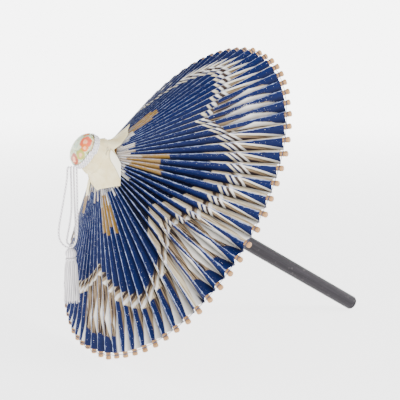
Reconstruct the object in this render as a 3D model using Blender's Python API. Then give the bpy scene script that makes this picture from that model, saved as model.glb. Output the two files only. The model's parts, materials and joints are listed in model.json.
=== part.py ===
"""A small oil paper umbrella, lying open on its rim and on the butt of its handle.

Built in metres, +Z up. The umbrella has its own frame, an empty called umbrella_axis: its +Z runs
up the shaft towards the head, its origin is the centre of the circle through the rib tips, its X is
horizontal and its Y points up the rim. The tassel hangs plumb from the neck, so it is placed in the
upright frame. The whole object stands on z = 0 with its box centred on the origin.

The fold is an isosceles linkage. The rib pivots and the strut pivots lie on circles of one radius,
and a strut is as long as the distance from a rib's pivot to its lug, so the runner keeps to the
shaft while the ribs swing down.
"""

import math

import bmesh
import bpy
from mathutils import Matrix, Vector

# driving dimensions, in metres
TIP_RADIUS = 0.100          # shaft axis to the centre of a rib's end
APEX_HEIGHT = 0.0505        # height of the ribs' common apex over the tip circle
BUTT_DEPTH = 0.160          # handle's end below the tip circle
SHAFT_RADIUS = 0.0045
SHAFT_TOP = 0.060
PIVOT_RADIUS = 0.0075       # circle of the rib pivots, and of the strut pivots
GAP = 0.0003                # clearance between touching pieces

RIB_COUNT = 24
STRUT_COUNT = 12
PLEAT_COUNT = 72
SHEET_COUNT = 6
FIRST_RIB = math.radians(-82.5)     # two ribs straddle the lowest point of the rim

RIB_HALF_WIDTH_HUB = 0.000275
RIB_HALF_WIDTH_TIP = 0.00155
RIB_HALF_HEIGHT_HUB = 0.00125
RIB_HALF_HEIGHT_TIP = 0.00160
LUG_DISTANCE = 0.044        # along the rib from its pivot
LUG_DEPTH = 0.0032          # lug's hole below the rib's centre line
LUG_RADIUS = 0.0013
LAP_INNER = 0.00015         # the lug and the strut's end share the width in a half lap
LAP_OUTER = 0.00080
THREAD_RADIUS = 0.00035
HOLE_RADIUS = 0.00070
PEG_RADIUS = 0.00040

PAPER_START = 0.014         # distances along the rib from its pivot
PAPER_END = 0.0998
RIM_THREAD_AT = 0.1013
PAPER_THICKNESS = 0.00045
FACET_SLOPE = math.tan(math.radians(54.0))

HUB_RADIUS = 0.0090
HUB_CORE_RADIUS = 0.0062
HUB_SLOT_WIDTH = 0.00125
RUNNER_RADIUS = 0.0088
RUNNER_CORE_RADIUS = 0.0060
RUNNER_SLOT_WIDTH = 0.0015
BORE_RADIUS = SHAFT_RADIUS + GAP

BLOCK_RADIUS = 0.0083
BLOCK_TOP = 0.0632
CAP_RADIUS = 0.0092         # outside of the paper tied round the head block
CORD_DIAMETER = 0.0011
NECK_LOW = 0.0575
NECK_HIGH = 0.0617
TASSEL_DROP = 0.0034        # from the neck cord down to where the tassel's loops hang from
CROWN_TOP = 0.0660

# worked out from them
RIB_PIVOT_Z = APEX_HEIGHT * (1.0 - PIVOT_RADIUS / TIP_RADIUS)
RIB_LENGTH = math.hypot(TIP_RADIUS - PIVOT_RADIUS, RIB_PIVOT_Z)
RIB_DROP = math.atan2(RIB_PIVOT_Z, TIP_RADIUS - PIVOT_RADIUS)
STRUT_LENGTH = math.hypot(LUG_DISTANCE, LUG_DEPTH)
LUG_ANGLE = math.pi / 2 - RIB_DROP - math.atan2(LUG_DEPTH, LUG_DISTANCE)
RUNNER_PIVOT_Z = RIB_PIVOT_Z - 2.0 * STRUT_LENGTH * math.cos(LUG_ANGLE)
RIB_STEP = 2.0 * math.pi / RIB_COUNT
STRUT_STEP = 2.0 * math.pi / STRUT_COUNT
PLEAT_STEP = 2.0 * math.pi / PLEAT_COUNT


# ---------------------------------------------------------------- scene helpers

def clear_scene():
    for old in list(bpy.data.objects):
        bpy.data.objects.remove(old, do_unlink=True)


def material(name, colour, roughness, metallic=0.0):
    made = bpy.data.materials.new(name)
    made.use_nodes = True
    shader = made.node_tree.nodes["Principled BSDF"]
    shader.inputs["Base Color"].default_value = (*colour, 1.0)
    shader.inputs["Roughness"].default_value = roughness
    shader.inputs["Metallic"].default_value = metallic
    return made


def empty(name, parent=None, matrix=None):
    made = bpy.data.objects.new(name, None)
    bpy.context.scene.collection.objects.link(made)
    made.parent = parent
    if matrix is not None:
        made.matrix_local = matrix
    return made


def put(name, mesh, look=None, parent=None, matrix=None):
    """Link a mesh as a named object, placed by its matrix under its parent."""
    made = bpy.data.objects.new(name, mesh)
    bpy.context.scene.collection.objects.link(made)
    made.parent = parent
    if matrix is not None:
        made.matrix_local = matrix
    if look is not None:
        made.data.materials.clear()
        made.data.materials.append(look)
    return made


def finished(shape, name, sharp_degrees=35.0):
    """Turn a bmesh into a mesh that is shaded smooth between its sharp edges."""
    bmesh.ops.recalc_face_normals(shape, faces=shape.faces)
    mesh = bpy.data.meshes.new(name)
    shape.to_mesh(mesh)
    shape.free()
    mesh.shade_smooth()
    mesh.set_sharp_from_angle(angle=math.radians(sharp_degrees))
    return mesh


def combined(mesh, name, steps):
    """The mesh after a run of exact booleans, each an (operation, cutter mesh) pair."""
    body = put(name + "_blank", mesh)
    cutters = []
    for operation, cutter in steps:
        tool = put(name + "_tool", cutter)
        tool.hide_render = True
        tool.display_type = "WIRE"
        cut = body.modifiers.new(operation.lower(), "BOOLEAN")
        cut.operation = operation
        cut.solver = "EXACT"
        cut.object = tool
        cutters.append(tool)
    seen = body.evaluated_get(bpy.context.evaluated_depsgraph_get())
    result = bpy.data.meshes.new_from_object(seen)
    result.name = name
    for used in [body, *cutters]:
        bpy.data.objects.remove(used, do_unlink=True)
    result.shade_smooth()
    result.set_sharp_from_angle(angle=math.radians(35.0))
    return result


# ---------------------------------------------------------------- shape helpers

def bridge(shape, lower, upper):
    """Quads between two closed rings of the same number of vertices."""
    for i in range(len(lower)):
        j = (i + 1) % len(lower)
        shape.faces.new((lower[i], lower[j], upper[j], upper[i]))


def lofted(rings, name):
    """A closed solid through rings of points, with a flat cap on each end."""
    shape = bmesh.new()
    loops = [[shape.verts.new(p) for p in ring] for ring in rings]
    for lower, upper in zip(loops, loops[1:]):
        bridge(shape, lower, upper)
    shape.faces.new(loops[0])
    shape.faces.new(loops[-1])
    return finished(shape, name)


def turned(profile, segments, name, closed=True):
    """A solid of revolution about Z. A closed profile never meets the axis; an open one starts and
    ends on it."""
    shape = bmesh.new()
    rings = []
    for radius, height in profile:
        if radius < 1e-9:
            rings.append([shape.verts.new((0.0, 0.0, height))])
            continue
        rings.append([
            shape.verts.new((radius * math.cos(a), radius * math.sin(a), height))
            for a in (2.0 * math.pi * i / segments for i in range(segments))
        ])
    pairs = list(zip(rings, rings[1:]))
    if closed:
        pairs.append((rings[-1], rings[0]))
    for lower, upper in pairs:
        if len(lower) == 1 or len(upper) == 1:
            point, ring = (lower[0], upper) if len(lower) == 1 else (upper[0], lower)
            for i in range(segments):
                shape.faces.new((point, ring[i], ring[(i + 1) % segments]))
        else:
            bridge(shape, lower, upper)
    return finished(shape, name)


def ring_tube(radius, height, tube, segments, sides, name):
    """A thread closed into a ring round Z."""
    profile = [
        (radius + tube * math.cos(a), height + tube * math.sin(a))
        for a in (2.0 * math.pi * (i + 0.5) / sides for i in range(sides))
    ]
    return turned(profile, segments, name)


def plate(outline, low, high, name):
    """An outline in the XZ plane, extruded along Y from low to high."""
    return lofted([[(x, low, z) for x, z in outline], [(x, high, z) for x, z in outline]], name)


def disc(x, z, radius, sides=8):
    return [
        (x + radius * math.cos(a), z + radius * math.sin(a))
        for a in (2.0 * math.pi * i / sides for i in range(sides))
    ]


def smooth_route(points, spacing):
    """Evenly spaced points on a Catmull-Rom curve through the route's own points."""
    points = [Vector(p) for p in points]
    ends = [2.0 * points[0] - points[1], *points, 2.0 * points[-1] - points[-2]]
    fine = []
    for a, b, c, d in zip(ends, ends[1:], ends[2:], ends[3:]):
        for i in range(40):
            t = i / 40.0
            fine.append(0.5 * (2.0 * b + (c - a) * t + (2.0 * a - 5.0 * b + 4.0 * c - d) * t ** 2
                               + (3.0 * b - 3.0 * c + d - a) * t ** 3))
    fine.append(points[-1])
    reach = [0.0]
    for a, b in zip(fine, fine[1:]):
        reach.append(reach[-1] + (b - a).length)
    count = max(2, round(reach[-1] / spacing))
    even = []
    k = 0
    for i in range(count + 1):
        want = reach[-1] * i / count
        while k < len(fine) - 2 and reach[k + 1] < want:
            k += 1
        share = (want - reach[k]) / max(reach[k + 1] - reach[k], 1e-12)
        even.append(fine[k].lerp(fine[k + 1], min(max(share, 0.0), 1.0)))
    return even


# ---------------------------------------------------------------- frame of the umbrella

def rib_angle(index):
    return FIRST_RIB + index * RIB_STEP


def rib_matrix(angle):
    """Rib frame: origin on the pivot, X along the rib to its tip, Z out through the paper."""
    return (Matrix.Rotation(angle, 4, "Z")
            @ Matrix.Translation((PIVOT_RADIUS, 0.0, RIB_PIVOT_Z))
            @ Matrix.Rotation(RIB_DROP, 4, "Y"))


def strut_matrix(angle):
    """Strut frame: origin on the lug's hole, X down the strut to the runner."""
    lug = rib_matrix(angle) @ Vector((LUG_DISTANCE, 0.0, -LUG_DEPTH))
    turn = (Matrix.Rotation(angle, 4, "Z")
            @ Matrix.Rotation(math.pi / 2 + LUG_ANGLE, 4, "Y"))
    return Matrix.Translation(lug) @ turn


def resting_tilt():
    """Angle of the shaft over the ground, with the two lowest ribs and the butt's edge on it."""
    corner = rib_matrix(FIRST_RIB) @ Vector((RIB_LENGTH, 0.0, RIB_HALF_HEIGHT_TIP))
    return math.atan2(-corner.y - SHAFT_RADIUS, corner.z + BUTT_DEPTH)


def tilted(tilt):
    """Rotation that lays the umbrella down: the shaft points to -X and up, the rim's X to -Y."""
    turn = Matrix((
        (0.0, math.sin(tilt), -math.cos(tilt)),
        (-1.0, 0.0, 0.0),
        (0.0, math.cos(tilt), math.sin(tilt)),
    ))
    return turn.to_4x4()


# ---------------------------------------------------------------- ribs and struts

def rib_half_width(along):
    share = along / RIB_LENGTH
    return RIB_HALF_WIDTH_HUB + (RIB_HALF_WIDTH_TIP - RIB_HALF_WIDTH_HUB) * share


def rib_half_height(along):
    share = along / RIB_LENGTH
    return RIB_HALF_HEIGHT_HUB + (RIB_HALF_HEIGHT_TIP - RIB_HALF_HEIGHT_HUB) * share


def stick_ring(along, wide, high):
    """Eight-sided section across a stick that runs along X."""
    shoulder = math.tan(math.radians(22.5))
    corners = [(1, shoulder), (shoulder, 1), (-shoulder, 1), (-1, shoulder),
               (-1, -shoulder), (-shoulder, -1), (shoulder, -1), (1, -shoulder)]
    return [(along, wide * y, high * z) for y, z in corners]


def rib_mesh(with_lug):
    """A split bamboo stick: a thin tongue with a thread hole at the hub, a round end at the rim."""
    stations = [(-0.00125, 1.0, 0.55), (-0.0006, 1.0, 0.9), (0.0, 1.0, 1.0),
                (RIB_LENGTH - 0.0004, 1.0, 1.0), (RIB_LENGTH, 0.75, 0.75)]
    body = lofted([stick_ring(along, rib_half_width(max(along, 0.0)) * wide,
                              rib_half_height(max(along, 0.0)) * tall)
                   for along, wide, tall in stations], "rib_body")
    hole = plate(disc(0.0, 0.0, HOLE_RADIUS), -0.002, 0.002, "rib_hole")
    steps = [("DIFFERENCE", hole)]
    if with_lug:
        half_turn = [math.pi * (1.0 + i / 6.0) for i in range(7)]
        outline = [(LUG_DISTANCE + LUG_RADIUS * math.cos(a), -LUG_DEPTH + LUG_RADIUS * math.sin(a))
                   for a in half_turn]
        outline += [(LUG_DISTANCE + LUG_RADIUS, -0.0009), (LUG_DISTANCE - LUG_RADIUS, -0.0009)]
        steps.append(("UNION", plate(outline, -0.00073, -LAP_INNER, "rib_lug")))
        bore = disc(LUG_DISTANCE, -LUG_DEPTH, HOLE_RADIUS)
        steps.append(("DIFFERENCE", plate(bore, -0.002, 0.002, "lug_hole")))
    return combined(body, "rib", steps)


def strut_mesh():
    """A short stretcher: a half-lapped end with a peg for the lug, a tongue with a thread hole."""
    end = STRUT_LENGTH
    half, tall = 0.0008, 0.0010
    tongue = 0.00040
    body = lofted([
        stick_ring(0.0021, half, tall),
        stick_ring(end - 0.0050, half, tall),
        stick_ring(end - 0.0040, tongue, tall),
        stick_ring(end + 0.0004, tongue, tall),
        stick_ring(end + 0.0011, tongue, 0.0005),
    ], "strut_body")
    half_turn = [math.pi * (0.5 + i / 6.0) for i in range(7)]
    lap = [(LUG_RADIUS * math.cos(a), LUG_RADIUS * math.sin(a)) for a in half_turn]
    lap += [(0.0026, -0.00085), (0.0026, 0.00085)]
    peg = plate(disc(0.0, 0.0, PEG_RADIUS, 6), -0.00095, 0.0005, "strut_peg")
    return combined(body, "strut", [
        ("UNION", plate(lap, LAP_INNER, 0.00075, "strut_lap")),
        ("UNION", peg),
        ("DIFFERENCE", plate(disc(end, 0.0, HOLE_RADIUS), -0.002, 0.002, "strut_hole")),
    ])


def add_ribs(axis, bamboo):
    lugged, plain = rib_mesh(True), rib_mesh(False)
    for i in range(RIB_COUNT):
        mesh = lugged if i % 2 == 0 else plain
        put(f"rib_{i + 1:02d}", mesh, bamboo, axis, rib_matrix(rib_angle(i)))


def add_struts(axis, bamboo):
    mesh = strut_mesh()
    for i in range(STRUT_COUNT):
        put(f"strut_{i + 1:02d}", mesh, bamboo, axis, strut_matrix(FIRST_RIB + i * STRUT_STEP))


# ---------------------------------------------------------------- hub, runner, shaft

def slots(count, first, width, inner, low, high, name):
    """Radial slots as one cutter: boxes from the inner radius outwards."""
    shape = bmesh.new()
    for i in range(count):
        turn = Matrix.Rotation(first + 2.0 * math.pi * i / count, 4, "Z")
        made = bmesh.ops.create_cube(shape, size=1.0)["verts"]
        outer = 0.012
        size = Matrix.Diagonal((outer - inner, width, high - low, 1.0))
        place = Matrix.Translation(((inner + outer) / 2.0, 0.0, (low + high) / 2.0))
        bmesh.ops.transform(shape, matrix=turn @ place @ size, verts=made)
    return finished(shape, name)


def add_hub(axis, look, thread):
    """Turned hub on the shaft's top, with a slot for each rib and a groove for their thread."""
    low, high = RIB_PIVOT_Z - 0.0035, 0.0530
    blank = turned([(BORE_RADIUS, high), (BORE_RADIUS, low), (HUB_RADIUS, low),
                    (HUB_RADIUS, high - 0.0006), (HUB_RADIUS - 0.0006, high)], 48, "hub_blank")
    cutter = slots(RIB_COUNT, FIRST_RIB, HUB_SLOT_WIDTH, HUB_CORE_RADIUS, low - 0.001,
                   RIB_PIVOT_Z + 0.0019, "hub_slots")
    channel = ring_tube(PIVOT_RADIUS, RIB_PIVOT_Z, THREAD_RADIUS + GAP, 24, 4, "hub_channel")
    mesh = combined(blank, "upper_hub", [("DIFFERENCE", cutter), ("DIFFERENCE", channel)])
    put("upper_hub", mesh, look, axis)
    put("hub_thread", ring_tube(PIVOT_RADIUS, RIB_PIVOT_Z, THREAD_RADIUS, 24, 4, "hub_thread"),
        thread, axis)


def add_runner(axis, look, thread):
    """Turned runner that slides on the shaft, with a slot for each strut. Its origin is on the
    first strut's pivot."""
    place = Matrix.Rotation(FIRST_RIB, 4, "Z") @ Matrix.Translation((PIVOT_RADIUS, 0, RUNNER_PIVOT_Z))
    low, high = RUNNER_PIVOT_Z - 0.0090, RUNNER_PIVOT_Z + 0.0030
    waist = RUNNER_RADIUS - 0.0012
    blank = turned([
        (BORE_RADIUS, high), (BORE_RADIUS, low), (RUNNER_RADIUS - 0.0005, low),
        (RUNNER_RADIUS, low + 0.0005), (RUNNER_RADIUS, low + 0.0016), (waist, low + 0.0026),
        (waist, RUNNER_PIVOT_Z - 0.0036), (RUNNER_RADIUS, RUNNER_PIVOT_Z - 0.0026),
        (RUNNER_RADIUS, high),
    ], 36, "runner_blank")
    cutter = slots(STRUT_COUNT, FIRST_RIB, RUNNER_SLOT_WIDTH, RUNNER_CORE_RADIUS,
                   RUNNER_PIVOT_Z - 0.0019, high + 0.001, "runner_slots")
    channel = ring_tube(PIVOT_RADIUS, RUNNER_PIVOT_Z, THREAD_RADIUS + GAP, 24, 4, "runner_channel")
    mesh = combined(blank, "runner", [("DIFFERENCE", cutter), ("DIFFERENCE", channel)])
    mesh.transform(place.inverted())
    put("runner", mesh, look, axis, place)
    loop = ring_tube(PIVOT_RADIUS, RUNNER_PIVOT_Z, THREAD_RADIUS, 24, 4, "runner_thread")
    loop.transform(place.inverted())
    put("runner_thread", loop, thread, axis, place)


def add_shaft(axis, lacquer, brass):
    """Dowel from the butt to inside the head, with a slot that holds the runner's spring catch."""
    r, low, high = SHAFT_RADIUS, -BUTT_DEPTH, SHAFT_TOP
    blank = turned([(0.0, high), (r - 0.0004, high), (r, high - 0.0004), (r, low + 0.0010),
                    (r - 0.0003, low + 0.0003), (r - 0.0010, low), (0.0, low)], 32, "shaft_blank",
                   closed=False)
    top = RUNNER_PIVOT_Z - 0.0090 - GAP
    foot = top - 0.0150
    nose = SHAFT_RADIUS + 0.0012
    turn = Matrix.Rotation(math.radians(90.0), 4, "Z")
    slot = plate([(0.0020, foot - GAP), (0.0070, foot - GAP), (0.0070, top + 0.0006),
                  (0.0020, top + 0.0006)], -0.0011, 0.0011, "catch_slot")
    slot.transform(turn)
    put("shaft", combined(blank, "shaft", [("DIFFERENCE", slot)]), lacquer, axis)
    leaf = plate([(0.0024, foot), (0.0032, foot), (0.0032, foot + 0.0020), (nose, top - 0.0012),
                  (nose, top), (0.0042, top), (0.0024, foot + 0.0024)], -0.0008, 0.0008, "catch")
    put("runner_catch", leaf, brass, axis, turn)


# ---------------------------------------------------------------- paper

def ridge_half_width(along):
    return 0.5 * rib_half_width(along) + 0.0001


def paper_point(along, pleat, side, lift):
    """A point of the pleated paper. Side -1 or 1 is an edge of the ridge over a rib, and 2 is the
    valley after it. Lift is measured out from the ridge's underside."""
    ridge = ridge_half_width(along)
    height = rib_half_height(along) + GAP + lift
    radius = PIVOT_RADIUS + along * math.cos(RIB_DROP)
    half_pitch = radius * math.tan(PLEAT_STEP / 2.0)
    angle = FIRST_RIB - RIB_STEP / 2.0 + (pleat + 0.5) * PLEAT_STEP
    if side == 2:
        angle += PLEAT_STEP / 2.0
        height -= (half_pitch - ridge) * FACET_SLOPE
        return rib_matrix(angle) @ Vector((along, 0.0, height))
    return rib_matrix(angle) @ Vector((along, side * ridge, height))


def canopy_sheet_mesh(first_pleat, count):
    """One printed sheet, folded into pleats that ride on the ribs."""
    lift = PAPER_THICKNESS * math.sqrt(1.0 + FACET_SLOPE ** 2)
    columns = [(first_pleat - 1, 2)]
    for pleat in range(first_pleat, first_pleat + count):
        columns += [(pleat, -1), (pleat, 1), (pleat, 2)]
    shape = bmesh.new()
    grid = []
    for number, (pleat, side) in enumerate(columns):
        seam = {0: 1.0, len(columns) - 1: -1.0}.get(number, 0.0)
        column = []
        for along, up in ((PAPER_START, 0.0), (PAPER_END, 0.0), (PAPER_END, lift),
                          (PAPER_START, lift)):
            point = paper_point(along, pleat, side, up)
            nudge = seam * 0.7 * GAP / math.hypot(point.x, point.y)
            column.append(shape.verts.new(Matrix.Rotation(nudge, 4, "Z") @ point))
        grid.append(column)
    for left, right in zip(grid, grid[1:]):
        bridge(shape, left, right)
    shape.faces.new(grid[0])
    shape.faces.new(grid[-1])
    return finished(shape, "canopy_sheet", 20.0)


def add_canopy(axis, paper, thread):
    per_sheet = PLEAT_COUNT // SHEET_COUNT
    for i in range(SHEET_COUNT):
        put(f"canopy_sheet_{i + 1}", canopy_sheet_mesh(i * per_sheet, per_sheet), paper, axis)
    on_rib = rib_matrix(0.0) @ Vector((RIM_THREAD_AT, 0.0, RIB_HALF_HEIGHT_TIP + GAP + 0.0003))
    ring = ring_tube(on_rib.x, on_rib.z, 0.0003, 48, 4, "rim_thread")
    put("rim_thread", ring, thread, axis)


def cap_edge(angle):
    """Radius of the cap's edge: four trimmed corners of a square of paper, pulled in between."""
    corner = math.cos(2.0 * (angle + math.radians(30.0)))
    return 0.0125 + 0.0135 * abs(corner) ** 0.6


def add_cap(axis, paper):
    """Square of paper tied round the head block, its four corners spread over the ribs."""
    shape = bmesh.new()
    count = 40
    columns = []
    for i in range(count):
        angle = 2.0 * math.pi * i / count
        edge = cap_edge(angle)
        knee = 0.0118 + 0.15 * (edge - 0.0125)
        outer = [(CAP_RADIUS, NECK_HIGH), (CAP_RADIUS, 0.0560), (knee, 0.0520),
                 (edge, 0.0548 - 0.52 * edge)]
        inner = [(r - 0.0006 if n < 2 else r - 0.0003, z - (0.0 if n == 0 else 0.0005))
                 for n, (r, z) in enumerate(outer)]
        loop = outer + inner[::-1]
        columns.append([shape.verts.new((r * math.cos(angle), r * math.sin(angle), z))
                        for r, z in loop])
    for left, right in zip(columns, columns[1:] + columns[:1]):
        bridge(shape, left, right)
    put("cap_paper", finished(shape, "cap_paper"), paper, axis)


def add_head(axis, wood, printed, cord):
    """Block on the shaft's end, the printed crown over it, and the cord wound round its neck."""
    low, high = 0.0533, BLOCK_TOP
    block = turned([(0.0, high), (BLOCK_RADIUS - 0.0005, high), (BLOCK_RADIUS, high - 0.0005),
                    (BLOCK_RADIUS, low), (BORE_RADIUS, low), (BORE_RADIUS, SHAFT_TOP + GAP),
                    (0.0, SHAFT_TOP + GAP)], 32, "head_block", closed=False)
    put("head_block", block, wood, axis)
    low = NECK_HIGH + GAP
    inside = BLOCK_RADIUS + GAP
    crown = turned([(0.0, CROWN_TOP), (0.0052, CROWN_TOP - 0.0002), (0.0082, CROWN_TOP - 0.0010),
                    (0.0093, CROWN_TOP - 0.0022), (0.0095, low), (inside, low),
                    (inside, BLOCK_TOP + GAP), (0.0, BLOCK_TOP + GAP)], 32, "crown_cover",
                   closed=False)
    put("crown_cover", crown, printed, axis)
    inside = CAP_RADIUS + GAP
    outside = inside + CORD_DIAMETER
    winding = turned([(inside, NECK_HIGH), (inside, NECK_LOW), (outside - 0.0003, NECK_LOW),
                      (outside, NECK_LOW + 0.0003), (outside, NECK_HIGH - 0.0003),
                      (outside - 0.0003, NECK_HIGH)], 40, "neck_cord")
    put("neck_cord", winding, cord, axis)


# ---------------------------------------------------------------- tassel

# routes of the two hanging loops, in millimetres in an upright plane: across, down, back
LOOP_A = [(-0.8, 0.0, 0.0), (-1.2, -5.6, 0.0), (-3.2, -16.8, 0.0), (-4.9, -25.6, 0.0),
          (-6.3, -33.5, 0.0), (-6.2, -38.6, 0.0), (-4.3, -42.4, 0.0), (-1.4, -44.1, 0.0),
          (1.4, -43.5, 0.0), (3.2, -40.0, 0.0), (3.9, -34.0, 0.0), (4.2, -24.0, 0.0),
          (4.3, -12.0, 0.0), (4.2, 0.0, 0.0)]
LOOP_B = [(0.8, 0.0, 1.7), (0.9, -12.0, 1.7), (0.7, -23.0, 1.7), (-0.2, -31.0, 1.7),
          (-1.6, -37.0, 1.7), (-2.0, -40.4, 1.7), (-0.6, -43.1, 1.7), (1.6, -42.4, 1.7),
          (2.4, -38.5, 1.7), (2.7, -31.0, 1.7), (2.6, -22.0, 1.7), (2.5, -11.0, 1.7),
          (2.4, 0.0, 1.7)]
ACROSS = Vector((0.866, -0.500, 0.0))
BACK = Vector((0.500, 0.866, 0.0))
MILLIMETRE = 0.001


def hanging_cord(name, route, hang, look):
    """A limp cord as a plain tube: a poly spline with a point every three diameters."""
    points = [(ACROSS * across + BACK * back + Vector((0.0, 0.0, down))) * MILLIMETRE
              for across, down, back in route]
    even = smooth_route(points, 3.0 * CORD_DIAMETER)
    curve = bpy.data.curves.new(name, "CURVE")
    curve.dimensions = "3D"
    spline = curve.splines.new("POLY")
    spline.points.add(len(even) - 1)
    for point, place in zip(spline.points, even):
        point.co = (*place, 1.0)
    curve.bevel_depth = CORD_DIAMETER / 2.0
    curve.bevel_resolution = 2
    curve.use_fill_caps = True
    curve.materials.append(look)
    made = bpy.data.objects.new(name, curve)
    bpy.context.scene.collection.objects.link(made)
    made.parent = hang
    return made


def add_tassel(ground, neck, silk):
    """Two loops of cord from the neck, and the tassel that hangs in them."""
    hang = empty("tassel_hang", ground, Matrix.Translation(neck))
    hanging_cord("tassel_loop_a", LOOP_A, hang, silk)
    hanging_cord("tassel_loop_b", LOOP_B, hang, silk)
    centre = Matrix.Translation(BACK * 0.0008)
    head = turned([(0.0, -0.0451), (0.0016, -0.0454), (0.0026, -0.0464), (0.0030, -0.0478),
                   (0.0027, -0.0492), (0.0021, -0.0499), (0.0, -0.0499)], 20, "tassel_head",
                  closed=False)
    put("tassel_head", head, silk, hang, centre)
    binding = turned([(0.0, -0.0502), (0.0028, -0.0502), (0.0032, -0.0506), (0.0032, -0.0512),
                      (0.0028, -0.0516), (0.0, -0.0516)], 20, "tassel_binding", closed=False)
    put("tassel_binding", binding, silk, hang, centre)
    skirt = turned([(0.0, -0.0519), (0.0029, -0.0519), (0.0034, -0.0535), (0.0040, -0.0650),
                    (0.0044, -0.0745), (0.0042, -0.0760), (0.0, -0.0760)], 24, "tassel_skirt",
                   closed=False)
    put("tassel_skirt", skirt, silk, hang, centre)


# ---------------------------------------------------------------- assembly

def stand_on_origin(ground, axis):
    """Move the object so that the box round everything but the tassel is centred over the origin
    and stands on z = 0."""
    bpy.context.view_layer.update()
    corners = []
    for piece in axis.children:
        corners += [piece.matrix_world @ v.co for v in piece.data.vertices]
    low = [min(c[i] for c in corners) for i in range(3)]
    high = [max(c[i] for c in corners) for i in range(3)]
    ground.location = (-(low[0] + high[0]) / 2.0, -(low[1] + high[1]) / 2.0, -low[2])
    bpy.context.view_layer.update()


def main():
    clear_scene()
    bamboo = material("bamboo", (0.62, 0.42, 0.22), 0.55)
    wood = material("turned_wood", (0.55, 0.38, 0.22), 0.50)
    lacquer = material("charcoal_lacquer", (0.055, 0.052, 0.056), 0.45)
    brass = material("brass_leaf", (0.70, 0.52, 0.24), 0.35, 1.0)
    blue = material("printed_oil_paper", (0.05, 0.09, 0.33), 0.45)
    ivory = material("ivory_paper", (0.86, 0.80, 0.62), 0.60)
    printed = material("blossom_paper", (0.78, 0.80, 0.66), 0.50)
    silk = material("white_silk", (0.88, 0.86, 0.86), 0.60)
    navy = material("navy_thread", (0.03, 0.04, 0.10), 0.60)

    ground = empty("ground")
    tilt = resting_tilt()
    axis = empty("umbrella_axis", ground, tilted(tilt))

    add_shaft(axis, lacquer, brass)
    add_hub(axis, wood, navy)
    add_ribs(axis, bamboo)
    add_struts(axis, bamboo)
    add_runner(axis, wood, navy)
    add_canopy(axis, blue, navy)
    add_cap(axis, ivory)
    add_head(axis, wood, printed, silk)
    ring = CAP_RADIUS + GAP + CORD_DIAMETER + TASSEL_DROP
    low = math.radians(-100.0)
    neck = tilted(tilt) @ Vector((ring * math.cos(low), ring * math.sin(low), NECK_HIGH + 0.0010))
    add_tassel(ground, neck, silk)
    stand_on_origin(ground, axis)


main()
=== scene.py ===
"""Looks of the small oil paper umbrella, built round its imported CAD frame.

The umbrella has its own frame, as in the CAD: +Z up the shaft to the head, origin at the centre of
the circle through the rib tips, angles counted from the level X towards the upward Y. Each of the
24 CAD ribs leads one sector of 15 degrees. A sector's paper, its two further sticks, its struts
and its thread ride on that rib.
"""
import json
import math
import random

import bmesh
import bpy
import numpy as np
from mathutils import Matrix, Vector


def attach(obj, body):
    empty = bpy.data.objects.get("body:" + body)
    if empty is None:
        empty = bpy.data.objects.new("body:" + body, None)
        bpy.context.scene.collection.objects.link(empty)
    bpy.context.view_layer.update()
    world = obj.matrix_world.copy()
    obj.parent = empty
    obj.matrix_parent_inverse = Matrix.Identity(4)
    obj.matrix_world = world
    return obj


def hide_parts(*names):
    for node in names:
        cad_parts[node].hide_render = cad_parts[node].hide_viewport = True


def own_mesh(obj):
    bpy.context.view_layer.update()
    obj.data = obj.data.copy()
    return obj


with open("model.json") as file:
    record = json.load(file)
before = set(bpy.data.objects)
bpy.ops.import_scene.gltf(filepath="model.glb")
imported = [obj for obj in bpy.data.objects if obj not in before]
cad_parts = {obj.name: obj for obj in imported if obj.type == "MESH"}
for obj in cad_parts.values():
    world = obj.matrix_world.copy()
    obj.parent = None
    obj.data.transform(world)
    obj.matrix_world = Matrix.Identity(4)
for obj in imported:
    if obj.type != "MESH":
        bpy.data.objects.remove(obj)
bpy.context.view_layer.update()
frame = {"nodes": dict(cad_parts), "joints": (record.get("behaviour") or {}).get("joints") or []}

# sizes shared with the CAD, in metres
TIP_RADIUS = 0.100
APEX_HEIGHT = 0.0505
PIVOT_RADIUS = 0.0075
RIB_COUNT = 24
STRUT_COUNT = 12
STICKS_PER_RIB = 3
RIB_HALF_WIDTH = (0.000275, 0.00155)    # at the hub and at the rim
RIB_HALF_HEIGHT = (0.00125, 0.00160)
PAPER_START = 0.0030
PAPER_END = 0.0998
RIM_THREAD_AT = 0.1013
NECK = 0.84                             # thickness of a stick where the thread runs, over its full one
PAPER_THICKNESS = 0.00022
PLEAT_SLOPE = math.tan(math.radians(54.0))
LUG_DISTANCE = 0.044
LUG_DEPTH = 0.0032
CORD = 0.0011
NECK_LOW = 0.0575
NECK_HIGH = 0.0617
CAP_RADIUS = 0.0092

RIB_PIVOT_Z = APEX_HEIGHT * (1.0 - PIVOT_RADIUS / TIP_RADIUS)
RIB_LENGTH = math.hypot(TIP_RADIUS - PIVOT_RADIUS, RIB_PIVOT_Z)
RIB_DROP = math.atan2(RIB_PIVOT_Z, TIP_RADIUS - PIVOT_RADIUS)
FIRST_RIB = math.radians(-82.5)
TURN = 2.0 * math.pi
RIB_STEP = TURN / RIB_COUNT
STICK_STEP = RIB_STEP / STICKS_PER_RIB

joints = {joint["name"]: joint for joint in frame["joints"]}


def polar(radius, angle, height):
    return Vector((radius * math.cos(angle), radius * math.sin(angle), height))


def rib_angle(index):
    return FIRST_RIB + index * RIB_STEP


def stick_angle(number):
    """Angle of a stick; stick 1 lies on the first rib, and every third one on a further rib."""
    return FIRST_RIB + (number - 1) * STICK_STEP


def rib_body(index):
    return f"rib_{index % RIB_COUNT + 1:02d}"


def rib_joint(index):
    return "fold" if index % RIB_COUNT == 0 else rib_body(index) + "_fold"


def wrapped(degrees, high):
    """The same direction as an angle that is at most high and less than a turn below it."""
    return degrees - 360.0 * math.ceil((degrees - high) / 360.0)


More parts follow.
